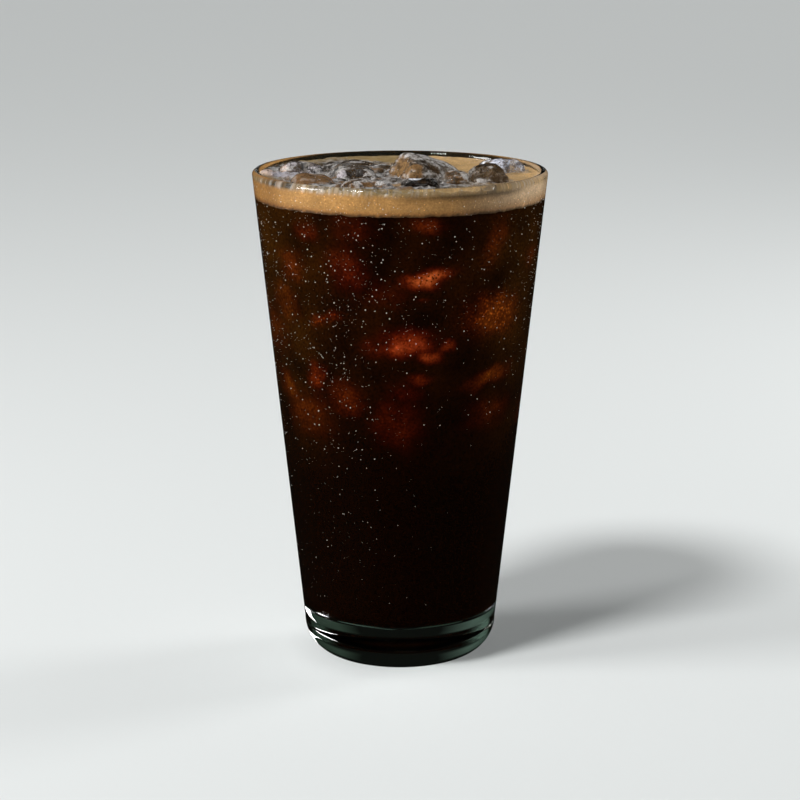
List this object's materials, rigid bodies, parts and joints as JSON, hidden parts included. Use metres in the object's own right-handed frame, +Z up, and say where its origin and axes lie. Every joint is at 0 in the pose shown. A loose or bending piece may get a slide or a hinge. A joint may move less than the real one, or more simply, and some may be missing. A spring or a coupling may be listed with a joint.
{
  "type": "iced americano",
  "caption": "Iced black coffee in a clear tapered tumbler with a thick solid base, filled near the rim, with a band of tan foam and ice standing out of it.",
  "frame": {"origin": "middle of the base, on the surface that the glass stands on", "axes": "+Z up along the glass, -Y towards the viewer of the picture, +X to the viewer's right"},
  "size_m": [0.0886, 0.0886, 0.1549],
  "materials": {
    "clear_glass": "clear, smooth, with fine drops on the outside",
    "black_coffee": "near-black brown, red where ice lies close to the wall",
    "coffee_foam": "fine tan foam with pale bubbles at its top edge",
    "wet_ice": "wet, clear to cloudy, froth along its edges"
  },
  "bodies": {
    "root": {"glass": "clear_glass", "coffee": "black_coffee", "foam": "coffee_foam", "ice_centre": "wet_ice", "ice_left": "wet_ice", "ice_mid_left": "wet_ice", "ice_front_left": "wet_ice", "ice_front": "wet_ice", "ice_front_low": "wet_ice", "ice_back": "wet_ice", "ice_chip": "wet_ice", "ice_right": "wet_ice", "ice_far_right": "wet_ice"}
  },
  "joints": []
}
